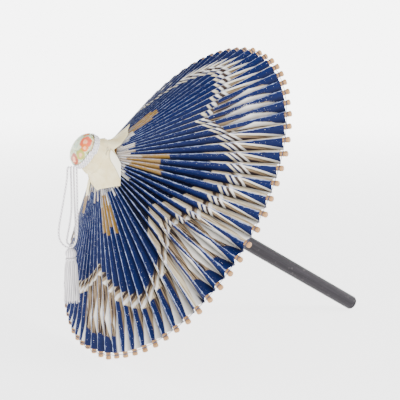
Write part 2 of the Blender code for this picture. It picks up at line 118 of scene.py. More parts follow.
def umbrella_frame():
    """The umbrella's own frame in the shared frame, from the ribs' pivots."""
    pivots = [Vector(joints[rib_joint(i)]["pos_m"]) for i in range(RIB_COUNT)]
    centre = sum(pivots, Vector()) / RIB_COUNT
    up = (pivots[0] - centre).cross(pivots[1] - centre).normalized()
    level = Vector((0.0, -1.0, 0.0))
    side = up.cross(level)
    turn = Matrix((level, side, up)).transposed()
    return Matrix.Translation(centre - up * RIB_PIVOT_Z) @ turn.to_4x4()


AXIS = umbrella_frame()


def rib_matrix(angle):
    """Stick frame: origin on the pivot, X along the stick, Z out through the paper."""
    return (AXIS @ Matrix.Rotation(angle, 4, "Z")
            @ Matrix.Translation((PIVOT_RADIUS, 0.0, RIB_PIVOT_Z))
            @ Matrix.Rotation(RIB_DROP, 4, "Y"))


# ---- camera

RIGHT = Vector((0.8654, -0.5011, 0.0))
FORWARD = Vector((0.4953, 0.8554, -0.1509)).normalized()
UP = RIGHT.cross(FORWARD)
CAMERA_RIGHT = 0.01840                  # from the rim's centre, in the camera's own directions
CAMERA_UP = -0.00158
CAMERA_FORWARD = -0.58347
LENS_MM = 90.0
SENSOR_MM = 36.0


def add_object(name, data):
    made = bpy.data.objects.new(name, data)
    bpy.context.scene.collection.objects.link(made)
    return made


def make_camera():
    camera = bpy.data.cameras.new("camera")
    camera.lens = LENS_MM
    camera.sensor_width = SENSOR_MM
    camera.clip_start, camera.clip_end = 0.05, 50.0
    holder = add_object("camera", camera)
    offset = RIGHT * CAMERA_RIGHT + UP * CAMERA_UP + FORWARD * CAMERA_FORWARD
    place = AXIS.translation + offset
    turn = Matrix((RIGHT, UP, -FORWARD)).transposed()
    holder.matrix_world = Matrix.Translation(place) @ turn.to_4x4()
    bpy.context.scene.camera = holder


make_camera()


# ---- mesh helpers

def put(name, shape, look, smooth_degrees, rest=Matrix()):
    """Turn a bmesh in the shared frame into a named piece. The materials read its points' places
    in the rest frame."""
    bmesh.ops.recalc_face_normals(shape, faces=shape.faces)
    mesh = bpy.data.meshes.new(name)
    shape.to_mesh(mesh)
    shape.free()
    mesh.shade_smooth()
    mesh.set_sharp_from_angle(angle=math.radians(smooth_degrees))
    mesh.materials.append(look)
    inverse = rest.inverted()
    places = mesh.attributes.new("rest", "FLOAT_VECTOR", "POINT")
    places.data.foreach_set("vector", [c for v in mesh.vertices for c in inverse @ v.co])
    return add_object(name, mesh)


def skin(shape, rings):
    """Faces between each ring and the next."""
    for lower, upper in zip(rings, rings[1:]):
        for i in range(len(lower)):
            j = (i + 1) % len(lower)
            shape.faces.new((lower[i], lower[j], upper[j], upper[i]))


def fan(shape, ring, centre):
    """Close a ring by faces to its centre."""
    point = shape.verts.new(centre)
    for i in range(len(ring)):
        shape.faces.new((ring[i], ring[(i + 1) % len(ring)], point))


def tube(shape, route, radius, sides, closed=False):
    """A tube along a route of points; radius is a number or one for each point."""
    route = [Vector(p) for p in route]
    count = len(route)
    radii = radius if isinstance(radius, (list, tuple)) else [radius] * count
    rings = []
    normal = None
    for i, point in enumerate(route):
        if closed:
            along = route[(i + 1) % count] - route[i - 1]
        else:
            along = route[min(i + 1, count - 1)] - route[max(i - 1, 0)]
        along.normalize()
        if normal is None:
            normal = along.orthogonal().normalized()
        normal = (normal - along * normal.dot(along)).normalized()
        other = along.cross(normal)
        rings.append([
            shape.verts.new(point + (normal * math.cos(a) + other * math.sin(a)) * radii[i])
            for a in (TURN * k / sides for k in range(sides))
        ])
    skin(shape, rings + rings[:1] if closed else rings)
    if not closed:
        shape.faces.new(rings[0])
        shape.faces.new(rings[-1])


def turned(shape, profile, segments, matrix, wave=None):
    """A turned form about the matrix's Z; wave(angle, height index) scales the radius."""
    rings = []
    for n, (radius, height) in enumerate(profile):
        ring = []
        for i in range(segments):
            a = TURN * i / segments
            r = radius * (wave(a, n) if wave else 1.0)
            ring.append(shape.verts.new(matrix @ polar(r, a, height)))
        rings.append(ring)
    skin(shape, rings)
    fan(shape, rings[0], matrix @ Vector((0, 0, profile[0][1])))
    fan(shape, rings[-1], matrix @ Vector((0, 0, profile[-1][1])))


def smooth_route(points, spacing):
    """Evenly spaced points on a Catmull-Rom curve through the route's own points."""
    steps = 40
    points = [Vector(p) for p in points]
    ends = [2.0 * points[0] - points[1], *points, 2.0 * points[-1] - points[-2]]
    fine = []
    for a, b, c, d in zip(ends, ends[1:], ends[2:], ends[3:]):
        for i in range(steps):
            t = i / steps
            fine.append(0.5 * (2.0 * b + (c - a) * t + (2.0 * a - 5.0 * b + 4.0 * c - d) * t ** 2
                               + (3.0 * b - 3.0 * c + d - a) * t ** 3))
    fine.append(points[-1])
    reach = np.concatenate([[0.0], np.cumsum([(b - a).length for a, b in zip(fine, fine[1:])])])
    count = max(2, round(reach[-1] / spacing))
    wanted = np.linspace(0.0, reach[-1], count + 1)
    table = np.array(fine)
    return [Vector([float(np.interp(w, reach, table[:, k])) for k in range(3)]) for w in wanted]


def sheet_corners(columns, rows):
    """Corners of every face of a sheet with two layers, each as its layer, column and row."""
    for c in range(columns - 1):
        for n in range(rows - 1):
            for layer in (0, 1):
                yield ((layer, c, n), (layer, c, n + 1), (layer, c + 1, n + 1), (layer, c + 1, n))
        for n in (0, rows - 1):
            yield ((0, c, n), (0, c + 1, n), (1, c + 1, n), (1, c, n))
    for c in (0, columns - 1):
        for n in range(rows - 1):
            yield ((0, c, n), (0, c, n + 1), (1, c, n + 1), (1, c, n))


# ---- materials

class Paint:
    """A material whose colour, roughness and bump are worked out by nodes."""

    def __init__(self, name, roughness, **sockets):
        self.material = bpy.data.materials.new(name)
        self.material.use_nodes = True
        self.tree = self.material.node_tree
        self.shader = self.tree.nodes["Principled BSDF"]
        self.shader.inputs["Roughness"].default_value = roughness
        for socket, value in sockets.items():
            self.shader.inputs[socket.replace("_", " ")].default_value = value

    def node(self, kind, **settings):
        made = self.tree.nodes.new(kind)
        for key, value in settings.items():
            setattr(made, key, value)
        return made

    def feed(self, socket, value):
        if isinstance(value, bpy.types.NodeSocket):
            self.tree.links.new(value, socket)
        else:
            socket.default_value = value

    def made(self, kind, output, inputs, **settings):
        """A new node's output, with the node's inputs fed by name or number."""
        node = self.node(kind, **settings)
        for key, value in inputs.items():
            self.feed(node.inputs[key], value)
        return node.outputs[output]

    def math(self, operation, a, b=0.0):
        return self.made("ShaderNodeMath", 0, {0: a, 1: b}, operation=operation)

    def add(self, a, b):
        return self.math("ADD", a, b)

    def sub(self, a, b):
        return self.math("SUBTRACT", a, b)

    def mul(self, a, b):
        return self.math("MULTIPLY", a, b)

    def both(self, a, b):
        return self.math("MINIMUM", a, b)

    def over(self, value, edge, soft=0.004):
        """1 where value is over edge, 0 under it."""
        inputs = {"Value": self.sub(value, edge), "From Min": -soft, "From Max": soft}
        return self.made("ShaderNodeMapRange", "Result", inputs, interpolation_type="SMOOTHSTEP")

    def under(self, value, edge, soft=0.004):
        return self.sub(1.0, self.over(value, edge, soft))

    def within(self, value, low, high, soft=0.004):
        return self.both(self.over(value, low, soft), self.under(value, high, soft))

    def mix(self, share, a, b):
        """From colour a to colour b; a Mix node's colour sockets are told by their numbers."""
        a, b = ((*c, 1.0) if isinstance(c, tuple) else c for c in (a, b))
        return self.made("ShaderNodeMix", 2, {0: share, 6: a, 7: b}, data_type="RGBA")

    def number(self, name):
        return self.made("ShaderNodeAttribute", "Fac", {}, attribute_name=name)

    def place(self):
        return self.made("ShaderNodeAttribute", "Vector", {}, attribute_name="rest")

    def object_place(self):
        return self.made("ShaderNodeTexCoord", "Object", {})

    def join(self, x, y, z=0.0):
        return self.made("ShaderNodeCombineXYZ", 0, {0: x, 1: y, 2: z})

    def noise(self, vector, scale, detail):
        inputs = {"Vector": vector, "Scale": scale, "Detail": detail}
        return self.made("ShaderNodeTexNoise", "Fac", inputs)

    def grain(self, place, scale, detail):
        """Noise over a place; scale is one number, or three for a grain that is drawn out."""
        scale = scale if isinstance(scale, tuple) else (scale,) * 3
        place = self.made("ShaderNodeMapping", "Vector", {"Vector": place, "Scale": scale})
        return self.noise(place, 1.0, detail)

    def chance(self, value):
        return self.made("ShaderNodeTexWhiteNoise", "Value", {"W": value}, noise_dimensions="1D")

    def near(self, vector, point):
        return self.made("ShaderNodeVectorMath", "Value", {0: vector, 1: point}, operation="DISTANCE")

    def bump(self, height, depth, strength):
        inputs = {"Height": height, "Distance": depth, "Strength": strength}
        self.feed(self.shader.inputs["Normal"], self.made("ShaderNodeBump", "Normal", inputs))

    def colour(self, value):
        self.feed(self.shader.inputs["Base Color"], value)

    def gloss(self, value):
        self.feed(self.shader.inputs["Roughness"], value)


SEAMS = (-159.0, -82.0, -20.0, 47.0, 124.0, 201.0)      # between the five petals, in degrees
HEARTS = (-137.0, -66.0, 17.0, 92.0, 168.0, 223.0)      # gold at the foot of each petal
BLUE = (0.0026, 0.0084, 0.0560)
DEEP_BLUE = (0.0010, 0.0024, 0.0110)
PALE_BLUE = (0.30, 0.36, 0.56)
WHITE = (0.74, 0.71, 0.66)
CREAM = (0.62, 0.54, 0.38)
TAN = (0.27, 0.19, 0.11)
BROWN = (0.040, 0.026, 0.020)
GOLD = (0.215, 0.120, 0.022)
BLACK_BROWN = (0.018, 0.012, 0.012)
SHADOW = (0.008, 0.007, 0.010)

# reaches from the shaft are shares of the rim's radius
PETAL_EDGE = 0.765                      # along the middle of a petal
PETAL_DIP = 0.215                       # how much less it is on a seam
PETAL_CURVE = 1.3
SEAM_SHARE = 0.66                       # petal share from which a pleat is printed as part of the seam
SQUARE_EDGE = 0.868                     # inner edge of the blue squares
# bands: from and to, past the petal's edge, then softness where they have their own, and colour
CROSSING = ((-0.034, -0.018, CREAM), (-0.002, 0.014, WHITE), (0.014, 0.033, BROWN), (0.033, 0.050, WHITE))
HOOKED = ((-0.006, 0.016, BROWN), (0.016, 0.030, TAN), (0.030, 0.050, WHITE))
BANDS_END = 0.050
DIAGONALS = ((-0.60, -0.34, 0.05, TAN), (-0.24, -0.12, 0.03, CREAM), (-0.12, 0.05, 0.03, WHITE))
LEAD_ARC = (-34.0, 70.0)                # degrees in which the tan strips start well before the bands
LONG_LEAD = 0.05                        # a lead over this is a long one
RAY_ARC = 34.0                          # degrees either side of a heart, with long rays
GOLD_ARC = 10.0


def petal_share(degrees):
    """0 along the middle of a petal, 1 on the seam between two."""
    for low, high in zip(SEAMS, SEAMS[1:]):
        if low <= degrees <= high:
            return abs(2.0 * (degrees - low) / (high - low) - 1.0)
    return 1.0


def print_marks(degrees, stick):
    """Where the print changes along one pleat: the strip's lead, and the rays' and gold's reach."""
    rng = random.Random(900 + stick)
    heart = min(abs(degrees - h) for h in HEARTS)
    rays = 0.255 - rng.uniform(0.0, 0.09) if heart < RAY_ARC else 0.11 + rng.uniform(0.0, 0.07)
    gold = 0.335 + rng.uniform(0.0, 0.07) if heart < GOLD_ARC else 0.0
    lead = 0.105 + rng.uniform(0.0, 0.035) if LEAD_ARC[0] < degrees < LEAD_ARC[1] else 0.018
    return {"lead": lead, "rays": rays, "gold": gold}


def lower_face(p, r, fold, edge):
    """The face under each ridge: crossing bands, then diagonals between brown and blue."""
    past = p.sub(p.sub(r, edge), p.mul(fold, 0.030))
    length = p.mul(p.sub(0.955, edge), 0.80)
    drift = p.sub(p.math("DIVIDE", p.sub(past, BANDS_END), length), fold)
    beyond = p.over(past, BANDS_END)
    face = BLUE
    for low, high, tint in CROSSING:
        face = p.mix(p.within(past, low, high), face, tint)
    face = p.mix(p.both(beyond, p.under(drift, -0.10, 0.03)), face, BROWN)
    for low, high, soft, tint in DIAGONALS:
        face = p.mix(p.both(beyond, p.within(drift, low, high, soft)), face, tint)
    return face


def upper_face(p, r, fold, edge, lead, streak):
    """The face over each ridge: a tan strip that starts squarely, then white widening to the rim; where
    the strip leads long, the deep blue before it is painted shade.
    """
    start = p.sub(p.sub(edge, lead), p.mul(fold, 0.020))
    strip = p.mix(p.over(streak, 0.50, 0.10), CREAM, TAN)
    strip = p.mix(p.over(fold, 0.80, 0.06), strip, BROWN)
    # painted shade: where the strip leads long, the blue before it is deep blue, the shade on these faces
    face = p.mix(p.over(r, start), p.mix(p.over(lead, LONG_LEAD), BLUE, DEEP_BLUE), strip)
    gone = p.sub(r, edge)
    hooked = p.add(gone, p.mul(fold, 0.045))
    for low, high, tint in HOOKED:
        face = p.mix(p.within(hooked, low, high), face, tint)
    half = p.mix(p.over(fold, 0.46, 0.05), BLUE, p.mix(p.over(streak, 0.5, 0.1), BROWN, TAN))
    bare_from = 0.046
    bare = p.over(gone, bare_from)
    growing = p.math("DIVIDE", p.sub(gone, bare_from), p.sub(0.99, edge))
    wedge = p.over(fold, p.sub(1.0, growing), 0.04)
    face = p.mix(p.both(bare, p.under(lead, LONG_LEAD)), face, p.mix(wedge, half, WHITE))
    return p.mix(p.both(bare, p.both(p.over(lead, LONG_LEAD), wedge)), face, WHITE)


def seam_print(p, r, fold, edge, first, luck, streak):
    """Near a seam between two petals: long white diamonds in the valleys, blue squares on the rim."""
    lens = p.both(p.math("DIVIDE", p.sub(r, p.add(edge, 0.030)), 0.17),
                  p.math("DIVIDE", p.sub(0.975, r), 0.17))
    lens = p.mul(lens, p.add(0.55, p.mul(luck, 0.35)))
    sliver = p.mix(p.over(streak, 0.50, 0.06), BLACK_BROWN, TAN)
    sliver = p.mix(p.both(first, p.under(fold, 0.45, 0.05)), sliver, BLUE)
    seam = p.mix(p.over(fold, p.sub(1.0, lens), 0.05), sliver, WHITE)
    slant = p.mul(p.math("POWER", fold, 3.0), 0.075)
    square = p.sub(r, p.add(p.add(SQUARE_EDGE, p.mul(luck, 0.02)), slant))
    return p.mix(p.over(square, 0.0), seam, BLUE)


def hub_print(p, printed, r, luck, streak):
    """Round the hub: white rays, with gold at the foot of each petal."""
    gilt = p.mix(p.over(streak, 0.56, 0.08), GOLD, TAN)
    printed = p.mix(p.under(r, p.number("gold")), printed, gilt)
    ray = p.mix(p.over(streak, 0.48, 0.08), WHITE, p.mix(p.over(luck, 0.5), TAN, DEEP_BLUE))
    return p.mix(p.under(r, p.number("rays")), printed, ray)


def wear_highlight_and_shade(p, printed, fold, side, turn, reach):
    """Pale lines and specks along the ridges, partly wear and partly painted highlight; cloudy patches;
    and painted shade down in the valleys.
    """
    # pale lines along the ridges: partly wear, partly painted highlight where the ridges catch the light
    ridge_line_noise = p.noise(p.join(turn, p.mul(reach, 40.0)), 1.0, 2.0)
    ridge_wear_and_highlight = p.under(fold, p.add(-0.085, p.mul(p.sub(ridge_line_noise, 0.47), 0.30)), 0.02)
    printed = p.mix(p.mul(ridge_wear_and_highlight, 0.70), printed, PALE_BLUE)
    # white specks near the ridges: partly wear, partly painted highlight
    dots = p.noise(p.join(p.mul(turn, 3.4), p.mul(reach, 150.0), side), 1.0, 1.0)
    speck = p.both(p.over(dots, 0.72, 0.02), p.under(fold, 0.35, 0.1))
    printed = p.mix(p.mul(speck, 0.8), printed, WHITE)
    cloud = p.noise(p.join(p.mul(turn, 0.6), p.mul(reach, 10.0), side), 1.3, 3.0)
    printed = p.mix(p.mul(p.over(cloud, 0.5, 0.25), 0.25), printed, DEEP_BLUE)
    # painted shade: darker down in the valleys between the pleats
    return p.mix(p.mul(p.over(fold, 0.72, 0.40), 0.68), printed, SHADOW)


def canopy_paint():
    """Oiled paper printed with a flower of five blue petals, edged by folded bands of white and tan.

    fold is 0 on a ridge and 1 in a valley, side tells a pleat's two faces apart, reach is the
    distance from the shaft over the rim's radius, turn the angle round the shaft in degrees."""
    p = Paint("printed_oil_paper", 0.42, Specular_IOR_Level=0.09)
    fold, side, turn, pleat = (p.number(n) for n in ("fold", "side", "turn", "pleat"))
    reach, petal, lead = (p.number(n) for n in ("reach", "petal", "lead"))
    luck = p.chance(pleat)
    wobble = p.noise(p.join(p.mul(turn, 0.25), p.mul(reach, 14.0), side), 1.6, 3.0)
    r = p.add(reach, p.mul(p.sub(wobble, 0.5), 0.018))
    first = p.under(side, 0.0, 0.01)
    edge = p.sub(PETAL_EDGE, p.mul(p.math("POWER", petal, PETAL_CURVE), PETAL_DIP))
    streak = p.noise(p.join(p.mul(fold, 3.0), p.mul(reach, 3.0), pleat), 2.2, 2.0)
    printed = p.mix(first, upper_face(p, r, fold, edge, lead, streak), lower_face(p, r, fold, edge))
    at_seam = p.both(p.over(petal, SEAM_SHARE, 0.01), p.over(r, p.add(edge, 0.034)))
    printed = p.mix(at_seam, printed, seam_print(p, r, fold, edge, first, luck, streak))
    printed = hub_print(p, printed, r, luck, streak)
    p.colour(wear_highlight_and_shade(p, printed, fold, side, turn, reach))
    fibres = p.grain(p.place(), 900.0, 3.0)
    p.gloss(p.add(0.36, p.mul(fibres, 0.18)))
    p.bump(fibres, 0.00006, 0.5)
    return p.material


def bamboo_paint(name, light, dark):
    """Split bamboo: fibres along the stick, and speckled pores on the cut end."""
    p = Paint(name, 0.5)
    place = p.place()
    fibre = p.grain(place, (60.0, 2600.0, 2600.0), 3.0)
    pores = p.grain(place, (200.0, 3400.0, 3400.0), 1.0)
    tone = p.chance(p.number("stick"))
    base = p.mix(p.over(fibre, 0.5, 0.22), light, dark)
    base = p.mix(p.mul(tone, 0.45), base, dark)
    cut = p.both(p.number("cut"), p.over(pores, 0.55, 0.06))
    p.colour(p.mix(p.mul(cut, 0.7), base, (0.13, 0.055, 0.020)))
    p.bump(fibre, 0.00012, 0.6)
    return p.material


def grained_paint(name, light, dark, scale, roughness, detail=3.0, soft=0.2, relief=(0.00008, 0.5),
                  **sockets):
    """Two tones in a fine grain, for the pieces carried over from the CAD."""
    p = Paint(name, roughness, **sockets)
    grain = p.grain(p.object_place(), scale, detail)
    p.colour(p.mix(p.over(grain, 0.5, soft), light, dark))
    p.bump(grain, *relief)
    return p.material


def lacquer_paint():
    """Thin charcoal lacquer over a turned dowel: faint grain, tiny scuffs."""
    p = Paint("charcoal_lacquer", 0.42, Specular_IOR_Level=0.14)
    place = p.object_place()
    turn = AXIS.to_3x3().inverted().to_euler()
    along = p.made("ShaderNodeMapping", "Vector", {"Vector": place, "Rotation": turn})
    grain = p.grain(along, (1400.0, 1400.0, 45.0), 3.0)
    scuff = p.grain(place, 420.0, 4.0)
    base = p.mix(p.over(grain, 0.52, 0.2), (0.010, 0.009, 0.011), (0.019, 0.016, 0.020))
    p.colour(p.mix(p.mul(p.over(scuff, 0.66, 0.05), 0.5), base, (0.075, 0.07, 0.07)))
    p.gloss(p.add(0.34, p.mul(scuff, 0.2)))
    p.bump(grain, 0.00007, 0.6)
    return p.material


def thread_paint(name, light, dark, twist):
    """Twisted thread or cord: two strands wind round it, read from its length and girth, with painted
    shade in the grooves between them.
    """
    p = Paint(name, 0.62)
    turns = p.add(p.mul(p.number("run"), twist), p.mul(p.number("girth"), 4.0 * math.pi))
    wave = p.math("SINE", turns)
    fuzz = p.grain(p.place(), 2600.0, 3.0)
    # painted shade: darker in the grooves between the two strands
    lay = p.over(wave, 0.0, 0.9)
    flap_edge_shadow = p.mix(lay, dark, light)
    p.colour(p.mix(p.mul(fuzz, 0.25), flap_edge_shadow, dark))
    p.bump(p.add(lay, p.mul(fuzz, 0.5)), 0.00010, 0.7)
    return p.material


# corners of the cap's turned-over flap, and the height over the rim that it stays under
FLAP = [(0.0093, 0.0059), (0.0123, -0.0002), (0.0190, -0.0066), (0.0210, -0.0040), (0.0174, 0.0015)]
FLAP_TOP = 0.0555


def inside_flap(p):
    """1 within the flap's outline, falling softly to 0 across its edge."""
    split = p.node("ShaderNodeSeparateXYZ")
    p.feed(split.inputs[0], p.place())
    across, up, height = split.outputs
    inside = p.under(height, FLAP_TOP)
    for (x0, y0), (x1, y1) in zip(FLAP, FLAP[1:] + FLAP[:1]):
        reach = math.hypot(x1 - x0, y1 - y0)
        offset = p.sub(p.mul(p.sub(up, y0), (x1 - x0) / reach),
                       p.mul(p.sub(across, x0), (y1 - y0) / reach))
        inside = p.both(inside, p.over(offset, 0.0, 0.0003))
    return inside


def ivory_paint():
    """Waxed ivory paper with cloudy fibres; a painted highlight makes the flap whiter, and a painted
    shadow runs dark along its edge.
    """
    p = Paint("ivory_paper", 0.55, Specular_IOR_Level=0.2, Subsurface_Weight=0.08,
              Subsurface_Radius=(0.002, 0.0016, 0.001))
    cloud = p.grain(p.place(), 150.0, 4.0)
    fibre = p.grain(p.place(), (1500.0, 700.0, 1500.0), 3.0)
    base = p.mix(p.over(cloud, 0.52, 0.16), (0.66, 0.55, 0.30), (0.76, 0.68, 0.43))
    base = p.mix(p.mul(p.over(fibre, 0.62, 0.06), 0.3), base, (0.55, 0.43, 0.20))
    inside = inside_flap(p)
    # painted shadow dark along the flap's edge; the flap's whiter colour is a painted highlight
    flap_edge_shadow = p.mul(p.sub(p.over(inside, 0.02, 0.02), p.over(inside, 0.55, 0.40)), 0.8)
    p.colour(p.mix(flap_edge_shadow, p.mix(inside, base, (0.88, 0.83, 0.68)), (0.34, 0.28, 0.16)))
    p.bump(p.add(cloud, p.add(p.mul(fibre, 0.4), p.mul(inside, 2.0))), 0.00018, 0.6)
    return p.material


# angle in degrees, distance from the axis, size and colour of each blossom
BLOSSOMS = [(24.0, 0.0070, 0.0036, (0.62, 0.085, 0.030)), (-72.0, 0.0088, 0.0034, (0.33, 0.045, 0.006)),
            (-4.0, 0.0084, 0.0024, (0.62, 0.14, 0.012)), (-34.0, 0.0088, 0.0028, (0.33, 0.32, 0.035)),
            (78.0, 0.0078, 0.0016, (0.50, 0.12, 0.03)), (170.0, 0.0066, 0.0024, (0.50, 0.10, 0.03))]
CROWN_HEIGHT = 0.0650                   # of the blossoms' middles


def blossom_paint():
    """Celadon paper with loose orange blossoms and olive leaves."""
    p = Paint("blossom_paper", 0.42, Coat_Weight=0.2)
    place = p.place()
    blur = p.grain(place, 520.0, 3.0)
    base = p.mix(p.over(blur, 0.56, 0.08), (0.40, 0.52, 0.38), (0.62, 0.62, 0.40))
    leaf = p.grain(place, 330.0, 2.0)
    base = p.mix(p.mul(p.over(leaf, 0.58, 0.04), 0.8), base, (0.24, 0.28, 0.05))
    for degrees, radius, size, tint in BLOSSOMS:
        spot = polar(radius, math.radians(degrees), CROWN_HEIGHT)
        ragged = p.add(p.near(place, spot), p.mul(p.sub(blur, 0.5), 0.0030))
        base = p.mix(p.under(ragged, size, 0.0005), base, tint)
        base = p.mix(p.under(ragged, size * 0.40, 0.0004), base, (0.80, 0.36, 0.20))
    p.colour(base)
    crease = p.grain(place, 700.0, 4.0)
    p.bump(crease, 0.00015, 0.5)
    return p.material


HORIZON = 6.5                           # brightness of the backdrop where floor and sky meet
SKY = 0.5


def floor_paint():
    """Pale floor that brightens to the backdrop's white with distance."""
    p = Paint("studio_floor", 0.7, Specular_IOR_Level=0.15)
    place = p.object_place()
    cloud = p.noise(place, 3.0, 2.0)
    p.colour(p.mix(p.mul(cloud, 0.1), (0.90, 0.90, 0.905), (0.87, 0.87, 0.875)))
    far = p.made("ShaderNodeVectorMath", "Value", {0: place}, operation="LENGTH")
    white = {"Color": (1.0, 1.0, 1.0, 1.0), "Strength": HORIZON}
    glow = p.made("ShaderNodeEmission", 0, white)
    blend = p.node("ShaderNodeMixShader")
    p.feed(blend.inputs["Fac"], p.add(0.45, p.mul(0.55, p.over(far, 1.0, 0.9))))
    p.tree.links.new(p.shader.outputs["BSDF"], blend.inputs[1])
    p.tree.links.new(glow, blend.inputs[2])
    p.tree.links.new(blend.outputs["Shader"], p.tree.nodes["Material Output"].inputs["Surface"])
    return p.material


ALONG_GRAIN = (260.0, 900.0, 900.0)
PAPER = canopy_paint()
BAMBOO = bamboo_paint("bamboo", (0.38, 0.205, 0.070), (0.22, 0.105, 0.034))
WOOD = grained_paint("turned_wood", (0.55, 0.36, 0.20), (0.36, 0.22, 0.11), ALONG_GRAIN, 0.5, 4.0)
STRUT_WOOD = grained_paint("strut_bamboo", (0.64, 0.44, 0.22), (0.46, 0.28, 0.13), ALONG_GRAIN, 0.5, 4.0)
LACQUER = lacquer_paint()
BRASS = grained_paint("brass_leaf", (0.72, 0.52, 0.22), (0.45, 0.30, 0.12), 1500.0, 0.32,
                      relief=(0.00004, 0.4), Metallic=1.0)
NAVY = thread_paint("navy_thread", (0.035, 0.045, 0.11), (0.012, 0.016, 0.045), 9000.0)
TIED = grained_paint("tied_navy_thread", (0.035, 0.045, 0.11), (0.012, 0.016, 0.045), 3000.0, 0.62,
                     2.0, 0.25, (0.00008, 0.6))
SILK = thread_paint("white_silk", (0.88, 0.86, 0.86), (0.42, 0.39, 0.42), 3400.0)
IVORY = ivory_paint()
PRINTED = blossom_paint()


# ---- attributes and bodies

def dress(piece, body, slot, *nodes):
    """Ride on a body and stand for CAD nodes; slot is not used."""
    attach(piece, body)
    if nodes:
        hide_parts(*nodes)


def give(piece, name, values, domain="POINT"):
    layer = piece.data.attributes.new(name, "FLOAT", domain)
    layer.data.foreach_set("value", np.asarray(values, np.float32))


def give_twist(piece, rings, sides, step):
    """Distance along a tube and share of the way round it, for the strands of thread_paint."""
    give(piece, "run", np.repeat(np.arange(rings) * step, sides))
    give(piece, "girth", np.tile(np.arange(sides) / sides, rings))


# ---- cords of the tassel

HANG = Vector(joints["tassel_swing"]["pos_m"])
ACROSS = Vector((0.866, -0.500, 0.0))
BACK = Vector((0.500, 0.866, 0.0))
CORD_STEP = 0.9 * CORD

# routes in millimetres from HANG: across, up and back
LOOP_A = [(0.2, 1.3, -0.1), (-0.8, 0.0, 0.0), (-1.2, -5.6, 0.0), (-3.2, -16.8, 0.0),
          (-4.9, -25.6, 0.0), (-6.3, -33.5, 0.0), (-6.2, -38.6, 0.0), (-4.3, -42.4, 0.0),
          (-1.4, -44.1, 0.0), (1.4, -43.5, 0.0), (3.2, -40.0, 0.0), (3.9, -34.0, 0.0),
          (4.2, -24.0, 0.0), (4.3, -12.0, 0.0), (4.2, 0.0, 0.0), (4.5, 1.3, 0.0)]
LOOP_B = [(1.4, 1.3, 1.6), (0.8, 0.0, 1.7), (0.9, -12.0, 1.7), (0.7, -23.0, 1.7), (-0.4, -31.0, 1.7),
          (-1.6, -37.0, 1.7), (-2.2, -40.4, 1.7), (-1.7, -42.2, 1.7), (0.3, -43.3, 1.7),
          (2.3, -42.2, 1.7), (2.9, -40.0, 1.7), (2.8, -31.0, 1.7), (2.6, -22.0, 1.7), (2.5, -11.0, 1.7),
          (2.4, 0.0, 1.7), (2.9, 1.3, 1.6)]


def hanging_cord(name, route, node):
    """A limp loop as a twisted tube, which stands for the CAD's plain one."""
    points = [HANG + (ACROSS * a + BACK * c + Vector((0.0, 0.0, b))) * 0.001 for a, b, c in route]
    even = smooth_route(points, CORD_STEP)
    shape = bmesh.new()
    sides = 10
    tube(shape, even, 0.5 * CORD, sides)
    piece = put(name, shape, SILK, 60.0, Matrix.Translation(HANG))
    give_twist(piece, len(even), sides, CORD_STEP)
    dress(piece, "tassel", "white_silk", node)


hanging_cord("cord_loop_a", LOOP_A, "tassel_loop_a")
hanging_cord("cord_loop_b", LOOP_B, "tassel_loop_b")


# ---- tassel

TASSEL = Matrix.Translation(HANG + BACK * 0.0008)
SKIRT_TOP = 0.0514                      # below HANG
SKIRT_DROPS = (SKIRT_TOP, 0.0530, 0.0570, 0.0660, 0.0760)
SKIRT_RADII = (0.0026, 0.0033, 0.0037, 0.0040, 0.0044)


def wound(name, radius, low, high, thickness, matrix, tilt=0.0):
    """A cord wound in close turns round the matrix's Z."""
    turns = max(2, round((high - low) / thickness))
    steps = 40
    route = []
    for i in range(turns * steps + 1):
        a = TURN * i / steps
        height = low + thickness * 0.5 + (high - low - thickness) * i / (turns * steps)
        swell = radius * (1.0 + 0.012 * math.sin(a * 0.7 + 1.0))
        route.append(matrix @ polar(swell, a, height + tilt * math.cos(a)))
    shape = bmesh.new()
    sides = 8
    tube(shape, route, thickness * 0.52, sides)
    piece = put(name, shape, SILK, 60.0, matrix)
    give_twist(piece, len(route), sides, TURN * radius / steps)
    return piece


def give_strands(piece, run, girth):
    """Strands for thread_paint that follow the angle round the tassel and the way down it."""
    x, y, z = (np.array([v.co for v in piece.data.vertices]) - np.array(TASSEL.translation)).T
    give(piece, "run", np.arctan2(y, x) * run)
    give(piece, "girth", -z * girth)


def tassel_bulb():
    """The fluted knot that the skirt hangs from."""
    flutes = 22

    def fluted(a, n):
        return 1.0 + 0.035 * math.sin(flutes * a) * min(1.0, n / 2.0)

    shape = bmesh.new()
    turned(shape, [(0.0008, -0.0446), (0.0019, -0.0451), (0.0027, -0.0461), (0.0031, -0.0473),
                   (0.0031, -0.0484), (0.0026, -0.0494), (0.0023, -0.0500), (0.0022, -0.0503)],
           4 * flutes, TASSEL, fluted)
    head = put("tassel_bulb", shape, SILK, 70.0, TASSEL)
    give_strands(head, 0.004, 0.0)
    dress(head, "tassel", "white_silk", "tassel_head")


def skirt_thread(shape, rng, angle, number):
    """One thread of the skirt, swelling out from the binding and drifting a little round it."""
    reach = 0.0760 - rng.uniform(0.0, 0.0016)
    spread = rng.uniform(0.96, 1.03)
    drift = rng.uniform(-0.05, 0.05)
    steps = 8
    route = []
    for k in range(steps + 1):
        t = k / steps
        down = SKIRT_TOP + (reach - SKIRT_TOP) * t
        radius = float(np.interp(down, SKIRT_DROPS, SKIRT_RADII)) * spread
        turn = angle + drift * t + 0.015 * math.sin(9.0 * t + number)
        route.append(TASSEL @ polar(radius, turn, -down))
    tube(shape, route, [0.00017 + 0.00004 * math.sin(number)] * steps + [0.00012], 5)


